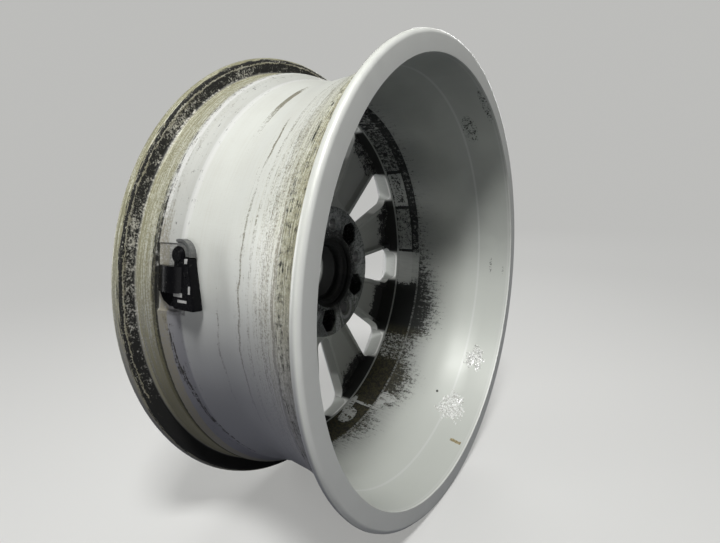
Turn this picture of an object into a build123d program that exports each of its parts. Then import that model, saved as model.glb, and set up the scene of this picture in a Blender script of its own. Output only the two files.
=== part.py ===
from build123d import *
import math
import os

# Alloy wheel, 17 inch by 7 J, ten spokes, with its valve and pressure sensor.
# Millimetres. The wheel turns about +Y, +Y is the inboard (brake) side, -Y the
# outboard (styled) side, +Z is up. The origin is the centre of the rim.

# Rim
bead_seat_diameter = 436.6
rim_width = 177.8
flange_height = 17.3
flange_thickness = 10.2
flange_front_round = 4.6
flange_round_steps = 3
bead_corner_break = 3.0
bead_seat_taper_deg = 5.0
hump_rise = 1.3
hump_offset = 22.5
hump_half_width = 3.5
lip_face_width = 19.3

# Drop centre, outside
outboard_well_edge_y = -46.4
outboard_well_edge_depth = 9.3
well_floor_y = -8.0
well_floor_depth = 15.3
inboard_well_mid_y = 30.0
inboard_well_mid_depth = 11.0
inboard_well_edge_y = 44.0
inboard_well_edge_depth = 8.0

# Barrel, inside
lip_crease_y = 56.5
lip_crease_diameter = 421.4
barrel_shoulder_y = 43.0
barrel_shoulder_diameter = 408.0
ridge_y = -61.0
ridge_diameter = 382.0
weight_land_edge_y = -27.0
weight_land_rise = 0.5
ring_wall_draft = 0.7

# Hub
offset = 44.0
pad_diameter = 150.0
pad_edge_break = 1.5
boss_draft = 4.0
boss_root_break = 4.0
centre_bore_diameter = 65.1
bore_land_length = 12.0
back_recess_diameter = 77.0
back_recess_depth = 5.0
back_chamfer = 2.5
cap_groove_diameter = 69.0
cap_groove_width = 4.0
cap_seat_diameter = 60.0
cap_recess_diameter = 66.0
cap_recess_depth = 10.0
hub_front_y = -85.0
hub_front_diameter = 150.0

# Wheel bolts
bolt_count = 5
bolt_circle_diameter = 110.0
bolt_phase_deg = 98.5
bolt_hole_diameter = 14.5
bolt_back_chamfer = 2.6
bolt_grip = 10.5
bolt_seat_diameter = 22.0
bolt_seat_angle_deg = 60.0
bolt_well_diameter = 27.0

# Pockets in the pad between the bolts
pad_pocket_inner_radius = 43.5
pad_pocket_shoulder_radius = 57.0
pad_pocket_outer_radius = 69.5
pad_pocket_inner_half_width = 10.0
pad_pocket_half_width = 14.5
pad_pocket_tip_half_width = 5.0
pad_pocket_depth = 27.0
pad_pocket_round = 3.0

# Spokes and the windows between them
spoke_count = 10
spoke_reference_radius = 130.0
rib_top_y = -73.4
spoke_floor_y = -80.7
crown_edge_y = -86.3
spoke_half_width_back = 24.1
spoke_half_width_front = 26.1
spoke_taper_back = 0.13
spoke_taper_front = 0.16
rib_width = 4.0
rib_draft = 1.3
rib_root_break = 2.0
spoke_pocket_outer_round = 4.0
spoke_pocket_inner_radius = 98.0
spoke_pocket_end_round = 8.0
window_inner_radius = 92.0
window_outer_radius_back = 190.5
window_outer_radius_front = 200.0
window_inner_round = 7.0
window_outer_round = 16.0
crown_step_y = -90.5
crown_step_margin = 3.2
crown_far_y = -99.0
crown_far_margin = 14.0
spoke_front_mid_radius = 125.0
spoke_front_mid_y = -91.5
spoke_front_outer_radius = 204.0
spoke_front_outer_y = -95.0
gutter_outer_radius = 212.0
lip_step_radius = 213.5
lip_step_y = -93.0

# Sensor seat in the outboard wall of the well
seat_half_length = 28.2
seat_centre_shift = 4.3
seat_above_valve = 8.5
seat_floor_radius = 206.3
seat_run_out_y = -24.0
seat_corner_round = 2.5

# Valve, leaning out of the well towards the styled side
valve_angle_deg = 50.0
valve_origin_radius = 210.3
valve_origin_y = -56.5
valve_hole_diameter = 11.5
valve_inner_face = 2.4
valve_spot_depth = 1.3
valve_spot_diameter = 19.0
stem_diameter = 8.3
stem_tip_diameter = 7.7
stem_tip_length = 10.0
stem_beyond_wall = 23.0
stem_collar_diameter = 15.0
stem_collar_thickness = 1.5
stem_head_diameter = 9.0
stem_head_length = 5.5
stem_passage_diameter = 2.5
grommet_diameter = 17.0
grommet_flange = 2.0
grommet_short_of_wall = 6.6
washer_diameter = 16.4
washer_thickness = 1.2
nut_flats = 12.0
nut_height = 6.5
nut_flange_diameter = 16.0
nut_flange_thickness = 1.4
cap_diameter = 9.8
cap_over_stem = 7.5
cap_length = 12.0
cap_end_wall = 1.6
cap_groove_count = 12
cap_groove_end = 3.0
cap_edge_break = 1.0
cap_groove_width = 0.8
core_diameter = 4.2
core_length = 19.0
core_recess = 1.5
core_pin_diameter = 1.6
core_pin_reach = 1.2
fit_gap = 0.1
thread_gap = 0.05
cut_over = 12.0

# Pressure sensor over the seat: radii from the wheel's axis, axial places, and
# distances round the wheel from the valve
sensor_slope_r = -0.445
case_base_radius = 207.6
case_top_radius = 216.0
case_wall = 1.6
case_end_low = -20.0
case_end_high = 21.5
case_back_y = -44.0
case_front_low_y = -18.5
case_front_high_y = -27.8
case_round = 2.0
case_edge_break = 0.9
cradle_low = -7.0
cradle_high = 14.0
cradle_back_y = -61.5
cradle_front_y = -33.0
cradle_crest_y = -50.0
cradle_crest_radius = 219.5
cradle_edge_radius = 216.5
wing_top_radius = 214.5
wing_low = -18.5
wing_step = 2.0
wing_slant = 4.0
seat_clearance = 1.5
ear_y = -40.0
ear_along = 23.0
ear_radius = 7.0
ear_top_radius = 216.6
ear_edge_break = 1.6
clip_outer_radius = 12.8
clip_top_radius = 213.4
clip_start_deg = -6.0
clip_end_deg = 112.0
clip_groove_radius = 10.1
clip_groove_width = 1.0
clip_groove_depth = 1.2
lid_thickness = 1.2
board_thickness = 1.0
board_post_height = 1.0
board_post_diameter = 3.0
board_post_inset = 5.5
battery_diameter = 12.5
battery_height = 3.2
battery_y = -33.0
battery_along = -8.0
cell_edge_break = 0.4

flange_radius = bead_seat_diameter / 2 + flange_height
seat_radius = bead_seat_diameter / 2
half_rim = rim_width / 2
half_width = half_rim + flange_thickness
pad_y = -offset
spoke_pitch = 360 / spoke_count
bolt_pitch = 360 / bolt_count
valve_azimuth_deg = bolt_phase_deg - 2.5 * spoke_pitch
window_wall_slope = (window_outer_radius_front - window_outer_radius_back) / (ridge_y - crown_edge_y)
valve_lean_r = math.sin(math.radians(valve_angle_deg))
valve_lean_y = math.cos(math.radians(valve_angle_deg))
valve_rise = valve_origin_radius - window_outer_radius_back
valve_rise += (valve_origin_y - ridge_y) * window_wall_slope
valve_outer_face = valve_rise / (valve_lean_r + valve_lean_y * window_wall_slope) - valve_spot_depth
stem_reach = valve_outer_face + stem_beyond_wall
grommet_end = valve_outer_face - grommet_short_of_wall
cap_start = stem_reach - cap_over_stem


def spun(shape, angle_deg):
    """Turn a shape about the wheel's axis, from +X towards +Z."""
    return Rot(0, -angle_deg, 0) * shape


def across(y):
    """Plane square to the wheel's axis, its x along +X and its y along +Z."""
    return Plane(origin=(0, y, 0), x_dir=(1, 0, 0), z_dir=(0, -1, 0))


def rounded_face(corners):
    """Closed outline from (x, y, round) corners."""
    points = [(x, y) for x, y, _ in corners]
    rounds = [radius for _, _, radius in corners]
    return make_face(FilletPolyline(*points, radius=rounds, close=True))


def seat_slope(distance):
    """Radius of the tapered bead seat at a distance in from the flange."""
    return seat_radius - distance * math.tan(math.radians(bead_seat_taper_deg))


def flange_edge(side):
    """Rolled outer edge of one flange in short flats, from the lip face to the tyre's side."""
    back_round = flange_thickness - flange_front_round
    middle_y = half_width - flange_front_round
    points = []
    for step in range(flange_round_steps):
        turn = math.radians(90 * step / flange_round_steps)
        rise = flange_front_round * (1 - math.sin(turn))
        run = flange_front_round * math.cos(turn)
        points.append((flange_radius - rise, side * (middle_y + run), 0))
    for step in range(flange_round_steps + 1):
        turn = math.radians(90 * step / flange_round_steps)
        rise = back_round * (1 - math.cos(turn))
        run = back_round * math.sin(turn)
        points.append((flange_radius - rise, side * (middle_y - run), 0))
    return points


def flange_corners(side):
    """Outside of one flange, bead seat and hump, from the lip face inwards."""
    hump_y = half_rim - hump_offset
    return flange_edge(side) + [
        (seat_radius + bead_corner_break, side * half_rim, 0),
        (seat_radius, side * (half_rim - bead_corner_break), 0),
        (seat_slope(hump_offset - hump_half_width), side * (hump_y + hump_half_width), 0),
        (seat_slope(hump_offset) + hump_rise, side * hump_y, 0),
        (seat_slope(hump_offset) + hump_rise * 0.3, side * (hump_y - hump_half_width), 0),
    ]


def wheel_section():
    """Half section of the whole casting before the windows are cut."""
    lip_inner = flange_radius - lip_face_width
    ridge_radius = ridge_diameter / 2
    barrel_slope = (barrel_shoulder_diameter / 2 - ridge_radius) / (barrel_shoulder_y - ridge_y)
    land_radius = ridge_radius + (weight_land_edge_y - ridge_y) * barrel_slope
    bore_radius = centre_bore_diameter / 2
    recess_radius = back_recess_diameter / 2
    recess_y = pad_y - back_recess_depth
    land_end_y = recess_y - bore_land_length
    groove_end_y = land_end_y - cap_groove_width
    cap_seat_y = hub_front_y + cap_recess_depth
    outside = flange_corners(-1)
    outside += [
        (seat_radius - outboard_well_edge_depth, outboard_well_edge_y, 0),
        (seat_radius - well_floor_depth, well_floor_y, 0),
        (seat_radius - inboard_well_mid_depth, inboard_well_mid_y, 0),
        (seat_radius - inboard_well_edge_depth, inboard_well_edge_y, 0),
    ]
    outside += reversed(flange_corners(1))
    inside = [
        (lip_inner, half_width, 0),
        (lip_crease_diameter / 2, lip_crease_y, 0),
        (barrel_shoulder_diameter / 2, barrel_shoulder_y, 0),
        (land_radius, weight_land_edge_y + weight_land_rise, 0),
        (land_radius - weight_land_rise, weight_land_edge_y, 0),
        (ridge_radius, ridge_y, 0),
        (ridge_radius - ring_wall_draft, rib_top_y, 0),
    ]
    hub = [
        (pad_diameter / 2 + boss_draft + boss_root_break, rib_top_y, 0),
        (pad_diameter / 2 + boss_draft, rib_top_y + boss_root_break, 0),
        (pad_diameter / 2, pad_y - pad_edge_break, 0),
        (pad_diameter / 2 - pad_edge_break, pad_y, 0),
        (recess_radius + back_chamfer, pad_y, 0),
        (recess_radius, pad_y - back_chamfer, 0),
        (recess_radius, recess_y, 0),
        (bore_radius + 2.0, recess_y, 0),
        (bore_radius, recess_y - 2.0, 0),
        (bore_radius, land_end_y, 0),
        (cap_groove_diameter / 2, land_end_y, 0),
        (cap_groove_diameter / 2, groove_end_y, 0),
        (cap_seat_diameter / 2, groove_end_y, 0),
        (cap_seat_diameter / 2, cap_seat_y, 0),
        (cap_recess_diameter / 2, cap_seat_y, 0),
        (cap_recess_diameter / 2, hub_front_y, 0),
    ]
    front = [
        (hub_front_diameter / 2, hub_front_y, 0),
        (spoke_front_mid_radius, spoke_front_mid_y, 0),
        (spoke_front_outer_radius, spoke_front_outer_y, 0),
        (gutter_outer_radius, crown_edge_y, 0),
        (lip_step_radius, lip_step_y, 0),
        (lip_inner, -half_width, 0),
    ]
    return rounded_face(outside + inside + hub + front)


def spoke_half_width(radius, y):
    """Half width of a spoke at a radius, wider towards the front."""
    share = (y - rib_top_y) / (crown_edge_y - rib_top_y)
    reach = radius - spoke_reference_radius
    back = spoke_half_width_back + spoke_taper_back * reach
    front = spoke_half_width_front + spoke_taper_front * reach
    return back + (front - back) * share


def window_outline(y, margin, outer):
    """Rounded trapezoid between two spokes at one plane, on the +X side."""
    half_pitch = math.radians(spoke_pitch / 2)
    plane_y = max(y, crown_edge_y)

    def corner(radius):
        half = spoke_half_width(radius, plane_y) - margin
        along = radius * math.cos(half_pitch) + half * math.sin(half_pitch)
        aside = radius * math.sin(half_pitch) - half * math.cos(half_pitch)
        return along, aside

    inner_x, inner_z = corner(window_inner_radius - margin)
    outer_x, outer_z = corner(outer)
    shift = math.sqrt(outer ** 2 - outer_z ** 2) / outer_x
    outer_x, outer_z = outer_x * shift, outer_z * shift
    sides = Polyline((outer_x, -outer_z), (inner_x, -inner_z), (inner_x, inner_z), (outer_x, outer_z))
    end = ThreePointArc((outer_x, outer_z), (outer, 0), (outer_x, -outer_z))
    outline = make_face(sides + end)
    inner_corners = outline.vertices().sort_by(Axis.X)[:2]
    outline = fillet(inner_corners, window_inner_round)
    outer_corners = outline.vertices().sort_by(Axis.X)[-2:]
    return across(y) * fillet(outer_corners, window_outer_round)


def window_cutter():
    """What the two moulds leave open between two spokes."""
    back_y = ridge_y + cut_over / 4
    back_outer = window_outer_radius_back - (back_y - ridge_y) * window_wall_slope
    body = loft([
        window_outline(back_y, 0, back_outer),
        window_outline(crown_edge_y, 0, window_outer_radius_front),
    ], ruled=True)
    step = loft([
        window_outline(crown_edge_y, 0, gutter_outer_radius - fit_gap),
        window_outline(crown_step_y, crown_step_margin, gutter_outer_radius),
    ], ruled=True)
    flare = loft([
        window_outline(crown_step_y, crown_step_margin, gutter_outer_radius),
        window_outline(crown_far_y, crown_far_margin, lip_step_radius),
    ], ruled=True)
    return body + step + flare


def spoke_pocket():
    """Hollow in the back of one spoke, between its two ribs."""
    outer = ridge_diameter / 2 - ring_wall_draft
    open_y = rib_top_y + cut_over / 2

    def outline(y, inset):
        inner = spoke_pocket_inner_radius + inset
        reach = outer - inset * 0.3
        half_in = spoke_half_width(inner, rib_top_y) - rib_width - inset
        half_out = spoke_half_width(reach, rib_top_y) - rib_width - inset
        out_x = math.sqrt(reach ** 2 - half_out ** 2)
        sides = Polyline((out_x, -half_out), (inner, -half_in), (inner, half_in), (out_x, half_out))
        end = ThreePointArc((out_x, half_out), (reach, 0), (out_x, -half_out))
        face = make_face(sides + end)
        face = fillet(face.vertices().sort_by(Axis.X)[:2], spoke_pocket_end_round)
        face = fillet(face.vertices().sort_by(Axis.X)[-2:], spoke_pocket_outer_round)
        return across(y) * face

    draft_per_mm = rib_draft / (rib_top_y - spoke_floor_y)
    wall = loft([
        outline(open_y, -draft_per_mm * cut_over / 2),
        outline(spoke_floor_y + rib_root_break, rib_draft),
    ], ruled=True)
    root = loft([
        outline(spoke_floor_y + rib_root_break, rib_draft),
        outline(spoke_floor_y, rib_draft + rib_root_break),
    ], ruled=True)
    return wall + root


def pad_pocket():
    """Blind pocket in the mounting pad between two bolts."""
    face = rounded_face([
        (pad_pocket_inner_radius, -pad_pocket_inner_half_width, pad_pocket_round),
        (pad_pocket_shoulder_radius, -pad_pocket_half_width, pad_pocket_round),
        (pad_pocket_outer_radius, -pad_pocket_tip_half_width, pad_pocket_round),
        (pad_pocket_outer_radius, pad_pocket_tip_half_width, pad_pocket_round),
        (pad_pocket_shoulder_radius, pad_pocket_half_width, pad_pocket_round),
        (pad_pocket_inner_radius, pad_pocket_inner_half_width, pad_pocket_round),
    ])
    return extrude(across(pad_y) * face, amount=pad_pocket_depth)


def bolt_cutter():
    """Bolt hole, its conical seat and the socket well, revolved about the bolt."""
    hole = bolt_hole_diameter / 2
    seat = bolt_seat_diameter / 2
    well = bolt_well_diameter / 2
    seat_rise = (seat - hole) / math.tan(math.radians(bolt_seat_angle_deg / 2))
    above = cut_over
    below = hub_front_y - cut_over
    seat_y = pad_y - bolt_grip
    profile = [
        (0, pad_y + above),
        (hole + bolt_back_chamfer, pad_y + above),
        (hole + bolt_back_chamfer, pad_y),
        (hole, pad_y - bolt_back_chamfer * 0.6),
        (hole, seat_y),
        (seat, seat_y - seat_rise),
        (well, seat_y - seat_rise),
        (well, below),
        (0, below),
    ]
    section = make_face(Polyline(*profile, close=True))
    cutter = revolve(section, axis=Axis.Y)
    return Pos(bolt_circle_diameter / 2, 0, 0) * cutter


def seat_frame():
    """Plane on the sensor seat: x down the slope, y round the wheel, z outwards."""
    slope_y = math.sqrt(1 - sensor_slope_r ** 2)
    turn = math.radians(valve_azimuth_deg)
    radial = Vector(math.cos(turn), 0, math.sin(turn))
    axial = Vector(0, 1, 0)
    origin = radial * valve_origin_radius + axial * valve_origin_y
    down = radial * sensor_slope_r + axial * slope_y
    outwards = radial * slope_y - axial * sensor_slope_r
    return Plane(origin=origin, x_dir=down, z_dir=outwards)


def valve_frame():
    """Plane square to the valve, its z along the stem towards the cap."""
    turn = math.radians(valve_azimuth_deg)
    radial = Vector(math.cos(turn), 0, math.sin(turn))
    around = Vector(-math.sin(turn), 0, math.cos(turn))
    axial = Vector(0, 1, 0)
    origin = radial * valve_origin_radius + axial * valve_origin_y
    along = radial * -valve_lean_r + axial * -valve_lean_y
    return Plane(origin=origin, x_dir=around, z_dir=along)


def seat_cutter():
    """Machined flat in the well wall, run out into the well."""
    slope_y = math.sqrt(1 - sensor_slope_r ** 2)
    top_y = valve_origin_y - seat_above_valve
    top_r = valve_origin_radius + (top_y - valve_origin_y) * sensor_slope_r / slope_y
    foot_y = valve_origin_y + (seat_floor_radius - valve_origin_radius) * slope_y / sensor_slope_r
    face = rounded_face([
        (top_r, top_y, 1.0),
        (seat_floor_radius, foot_y, 6.0),
        (seat_floor_radius, seat_run_out_y, 0),
        (seat_floor_radius + cut_over, seat_run_out_y, 0),
        (top_r + cut_over, top_y, 0),
    ])
    block = extrude(face, amount=seat_half_length, both=True)
    block = fillet(block.edges().filter_by(Axis.X), seat_corner_round)
    return spun(Pos(0, 0, seat_centre_shift) * block, valve_azimuth_deg)


def rod(frame, diameter, start, end):
    """Round bar on a frame's z axis."""
    return frame * extrude(Pos(0, 0, start) * Circle(diameter / 2), amount=end - start)


def case_frame():
    """Plane at the sensor's underside: x inboard, y round the wheel, z outwards."""
    turn = math.radians(valve_azimuth_deg)
    radial = Vector(math.cos(turn), 0, math.sin(turn))
    return Plane(origin=radial * case_base_radius, x_dir=(0, 1, 0), z_dir=radial)


def case_outline(inset):
    """Outline of the electronics box, drawn in by an inset."""
    return rounded_face([
        (case_back_y + inset, case_end_low + inset, case_round),
        (case_front_low_y - inset, case_end_low + inset, case_round),
        (case_front_high_y - inset, case_end_high - inset, case_round),
        (case_back_y + inset, case_end_high - inset, case_round),
    ])


def wheel_casting():
    """The one-piece cast wheel."""
    casting = revolve(wheel_section(), axis=Axis.Y)
    window = window_cutter()
    pocket = spoke_pocket()
    cuts = []
    for index in range(spoke_count):
        turn = bolt_phase_deg + index * spoke_pitch
        cuts.append(spun(pocket, turn))
        cuts.append(spun(window, turn + spoke_pitch / 2))
    bolt = bolt_cutter()
    relief = pad_pocket()
    for index in range(bolt_count):
        turn = bolt_phase_deg + index * bolt_pitch
        cuts.append(spun(bolt, turn))
        cuts.append(spun(relief, turn + bolt_pitch / 2))
    valve = valve_frame()
    cuts.append(seat_cutter())
    cuts.append(rod(valve, valve_hole_diameter, -cut_over, valve_outer_face + cut_over))
    cuts.append(rod(valve, valve_spot_diameter, -cut_over, valve_inner_face))
    cuts.append(rod(valve, valve_spot_diameter, valve_outer_face, valve_outer_face + cut_over))
    for cut in cuts:
        casting = casting - cut
    return casting


def sensor_case():
    """Moulded box with the cradle over the stem, the wing and the ear."""
    top = case_top_radius - case_base_radius
    box = extrude(case_outline(0), amount=top)
    box = chamfer(box.faces().sort_by(Axis.Z)[-1].edges(), case_edge_break)
    crest = cradle_crest_radius - case_base_radius
    edge = cradle_edge_radius - case_base_radius
    ends = Polyline((cradle_front_y, top), (cradle_front_y, 0), (cradle_back_y, 0), (cradle_back_y, edge))
    crown = ThreePointArc((cradle_back_y, edge), (cradle_crest_y, crest), (cradle_front_y, top))
    cradle = extrude(Plane.XZ * make_face(ends + crown), amount=-(cradle_high - cradle_low))
    cradle = Pos(0, cradle_low, 0) * cradle
    wing = extrude(rounded_face([
        (cradle_back_y, cradle_low - wing_step, 2.0),
        (cradle_back_y + wing_slant, wing_low + wing_slant, 4.0),
        (cradle_back_y + 3 * wing_slant, wing_low, 3.0),
        (case_back_y + case_wall, wing_low, 0),
        (case_back_y + case_wall, cradle_low + case_wall, 0),
        (cradle_back_y, cradle_low + case_wall, 0),
    ]), amount=wing_top_radius - case_base_radius)
    ear = extrude(Pos(ear_y, ear_along, 0) * Circle(ear_radius), amount=ear_top_radius - case_base_radius)
    ear = chamfer(ear.faces().sort_by(Axis.Z)[-1].edges(), ear_edge_break)
    body = case_frame() * (box + cradle + wing + ear)
    reach = 2 * (case_front_low_y - cradle_back_y)
    ground = extrude(Rectangle(reach, reach), amount=-reach)
    body = body - seat_frame() * Pos(0, 0, seat_clearance) * ground
    cavity = extrude(case_outline(case_wall), amount=top - case_wall)
    body = body - case_frame() * cavity
    valve = valve_frame()
    head_start = valve_inner_face - grommet_flange - stem_collar_thickness
    head_end = head_start - stem_head_length
    body = body - rod(valve, stem_head_diameter + 2 * fit_gap, head_end, valve_inner_face)
    body = body - rod(valve, grommet_diameter + 4 * fit_gap, head_start - fit_gap, cut_over)
    return body


def sensor_lid():
    """Plate closing the box from below, with the posts the board stands on."""
    plate = extrude(case_outline(case_wall + fit_gap), amount=lid_thickness)
    for y, along in board_posts():
        post = extrude(Circle(board_post_diameter / 2), amount=board_post_height)
        plate += Pos(y, along, lid_thickness) * post
    return case_frame() * plate


def board_posts():
    """Places of the four posts under the board."""
    back = case_back_y + board_post_inset
    low = case_end_low + board_post_inset
    high = case_end_high - board_post_inset
    return [
        (back, low),
        (back, high),
        (case_front_low_y - board_post_inset, low),
        (case_front_high_y - board_post_inset, high),
    ]


def circuit_board():
    """Board on the lid's posts."""
    level = lid_thickness + board_post_height
    board = extrude(case_outline(case_wall + 4 * fit_gap), amount=board_thickness)
    return case_frame() * Pos(0, 0, level) * board


def battery_cell():
    """Button cell on the board."""
    level = lid_thickness + board_post_height + board_thickness
    cell = extrude(Circle(battery_diameter / 2), amount=battery_height)
    cell = chamfer(cell.faces().sort_by(Axis.Z)[-1].edges(), cell_edge_break)
    return case_frame() * Pos(battery_y, battery_along, level) * cell


def retaining_clip():
    """Grey double band round the ear."""
    height = clip_top_radius - case_base_radius
    sweep = clip_end_deg - clip_start_deg
    outer = CenterArc((0, 0), clip_outer_radius, clip_start_deg, sweep)
    inner = CenterArc((0, 0), ear_radius, clip_start_deg, sweep)
    outline = outer + Line(outer @ 1, inner @ 1) + inner + Line(inner @ 0, outer @ 0)
    clip = extrude(make_face(outline), amount=height)
    groove_outer = Circle(clip_groove_radius + clip_groove_width / 2)
    groove = groove_outer - Circle(clip_groove_radius - clip_groove_width / 2)
    clip -= Pos(0, 0, height - clip_groove_depth) * extrude(groove, amount=height)
    return case_frame() * Pos(ear_y, ear_along, 0) * clip


def valve_stem():
    """Metal stem with its collar, its head in the cradle and the bore for the core."""
    collar_start = valve_inner_face - grommet_flange - stem_collar_thickness
    collar_end = valve_inner_face - grommet_flange
    frame = valve_frame()
    stem = rod(frame, stem_head_diameter, collar_start - stem_head_length, collar_start)
    stem += rod(frame, stem_collar_diameter, collar_start, collar_end)
    stem += rod(frame, stem_diameter, collar_end, stem_reach - stem_tip_length)
    stem += rod(frame, stem_tip_diameter, stem_reach - stem_tip_length, stem_reach)
    core_start = stem_reach - core_recess - core_length
    stem -= rod(frame, core_diameter + 2 * thread_gap, core_start, stem_reach + cut_over)
    stem -= rod(frame, stem_passage_diameter, -cut_over, stem_reach)
    return stem


def valve_grommet():
    """Rubber seal between the collar and the wheel."""
    frame = valve_frame()
    top = valve_inner_face - grommet_flange
    grommet = rod(frame, grommet_diameter, top, valve_inner_face)
    grommet += rod(frame, valve_hole_diameter - 2 * fit_gap, top, grommet_end)
    return grommet - rod(frame, stem_diameter + 2 * thread_gap, top - cut_over, grommet_end + cut_over)


def valve_washer():
    """Plain washer on the window-side spotface."""
    frame = valve_frame()
    end = valve_outer_face + washer_thickness
    washer = rod(frame, washer_diameter, valve_outer_face, end)
    return washer - rod(frame, stem_diameter + 4 * fit_gap, valve_outer_face - cut_over, end + cut_over)


def valve_nut():
    """Hexagon nut with a flange, clamping the stem."""
    frame = valve_frame()
    start = valve_outer_face + washer_thickness
    hexagon = RegularPolygon(radius=nut_flats / 2, side_count=6, major_radius=False)
    nut = frame * extrude(Pos(0, 0, start) * hexagon, amount=nut_height)
    nut += rod(frame, nut_flange_diameter, start, start + nut_flange_thickness)
    return nut - rod(frame, stem_diameter + 2 * thread_gap, start - cut_over, start + cut_over)


def valve_core():
    """Core on the shoulder in the stem, its pin standing out a little."""
    frame = valve_frame()
    end = stem_reach - core_recess
    core = rod(frame, core_diameter, end - core_length, end)
    return core + rod(frame, core_pin_diameter, end, end + core_pin_reach)


def valve_cap():
    """Plastic dust cap with gripping grooves."""
    frame = valve_frame()
    end = cap_start + cap_length
    cap = extrude(Circle(cap_diameter / 2), amount=cap_length)
    cap = chamfer(cap.faces().sort_by(Axis.Z)[-1].edges(), cap_edge_break)
    notch = Rot(0, 0, 45) * Rectangle(cap_groove_width, cap_groove_width)
    groove = extrude(notch, amount=cap_length - cap_groove_end)
    for index in range(cap_groove_count):
        cap -= Rot(0, 0, index * 360 / cap_groove_count) * Pos(cap_diameter / 2, 0, 0) * groove
    cap = frame * Pos(0, 0, cap_start) * cap
    return cap - rod(frame, stem_tip_diameter + 2 * thread_gap, cap_start - cut_over, end - cap_end_wall)


parts = {
    "wheel_casting": wheel_casting(),
    "sensor_case": sensor_case(),
    "sensor_lid": sensor_lid(),
    "circuit_board": circuit_board(),
    "battery_cell": battery_cell(),
    "retaining_clip": retaining_clip(),
    "valve_stem": valve_stem(),
    "valve_grommet": valve_grommet(),
    "valve_washer": valve_washer(),
    "valve_nut": valve_nut(),
    "valve_core": valve_core(),
    "valve_cap": valve_cap(),
}
os.makedirs("parts", exist_ok=True)
for name, shape in parts.items():
    export_step(shape, f"parts/{name}.step")
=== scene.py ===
# %% [markdown]
# # A used alloy road wheel
# The wheel stands in front of the camera with its brake side turned to us: a cast
# rim without its tyre, ten hollow-backed spokes, a hub pad with five bolt holes,
# and a black pressure sensor on its valve. The solids come from the packed
# model. This script gives every surface the finish of a wheel that has run for
# years: silver lacquer, brake dust, rubber rubbed off by the tyre's beads, and
# the glue left by old balance weights.

# %% Open the frame
import math

import bmesh
import bpy
import numpy as np
from mathutils import Matrix, Vector


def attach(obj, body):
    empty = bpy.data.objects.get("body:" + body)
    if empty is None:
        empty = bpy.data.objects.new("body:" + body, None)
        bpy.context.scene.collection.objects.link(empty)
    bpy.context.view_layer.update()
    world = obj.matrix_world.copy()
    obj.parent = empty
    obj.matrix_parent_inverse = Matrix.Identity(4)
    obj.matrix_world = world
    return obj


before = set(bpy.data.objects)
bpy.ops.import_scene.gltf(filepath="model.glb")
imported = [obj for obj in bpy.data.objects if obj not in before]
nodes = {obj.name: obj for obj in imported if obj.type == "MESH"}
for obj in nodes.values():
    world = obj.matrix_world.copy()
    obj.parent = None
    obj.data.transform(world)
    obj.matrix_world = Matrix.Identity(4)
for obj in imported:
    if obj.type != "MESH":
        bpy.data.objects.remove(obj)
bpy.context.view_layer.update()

# %% [markdown]
# ## Sizes
# Blender works in metres, but a wheel is drawn in millimetres, so lengths are
# written as millimetres times MM. Places on the wheel are given by three numbers:
# the radius from its axis, the angle round it (0 towards +X, 90 upwards), and y
# along the axis, which grows towards the brake side.

# %% Main sizes
MM = 0.001
FLANGE_RADIUS = 235.6 * MM
FIRST_SPOKE = 98.5  # degrees
HALF_SPOKE_STEP = 18.0  # ten spokes
HALF_BOLT_STEP = 36.0  # five bolts
BOLT_CIRCLE_RADIUS = 55  # millimetres
VALVE_ANGLE = 8.5  # degrees
print("rim", round(2 * FLANGE_RADIUS, 4), "m across")

# %% [markdown]
# ## The camera
# A photograph can be matched by fitting one camera to things whose real shape is
# known. Here both rim outlines are circles of one radius a known distance apart,
# and that fixes the place, the direction and the lens together.

# %% Camera
CAMERA_PLACE = Vector((461.62, 291.89, 118.77)) * MM
CAMERA_AZIMUTH = 2.14292
CAMERA_ELEVATION = 0.205553
CAMERA_ROLL = -0.0294523
LENS_MM = 25.286


def aim_camera():
    """Camera whose back, right and up directions come from azimuth, elevation and roll."""
    azimuth, elevation, roll = CAMERA_AZIMUTH, CAMERA_ELEVATION, CAMERA_ROLL
    back = Vector((
        math.sin(azimuth) * math.cos(elevation),
        -math.cos(azimuth) * math.cos(elevation),
        math.sin(elevation),
    ))
    level = Vector((math.cos(azimuth), math.sin(azimuth), 0))
    upright = back.cross(level)
    right = level * math.cos(roll) + upright * math.sin(roll)
    up = upright * math.cos(roll) - level * math.sin(roll)
    made = bpy.data.objects.new("camera", bpy.data.cameras.new("camera"))
    bpy.context.scene.collection.objects.link(made)
    made.data.lens = LENS_MM
    made.data.sensor_width = 36
    made.data.clip_start = 0.01
    turn = Matrix((right, up, back)).transposed().to_4x4()
    made.matrix_world = Matrix.Translation(CAMERA_PLACE) @ turn
    bpy.context.scene.camera = made
    return made


camera = aim_camera()
print("camera", round(CAMERA_PLACE.length, 3), "m from the wheel's middle")

# %% [markdown]
# ## Colours as they are written
# Blender's usual view draws bright colours together, as film does. The Standard
# view shows a colour as it is written, so a finish can be judged by its numbers,
# and it keeps its look where another program shows the wheel.

# %% View
bpy.context.scene.view_settings.view_transform = "Standard"
print("view", bpy.context.scene.view_settings.view_transform)

# %% [markdown]
# ## Writing materials as sums
# A procedural finish is arithmetic on places: how far from the axis, how far
# along it, how rough a noise is there. Wrapping a node's socket in a small class
# lets that arithmetic be written with + and *, and each sign adds its Math node.

# %% Values that vary over a surface


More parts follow.
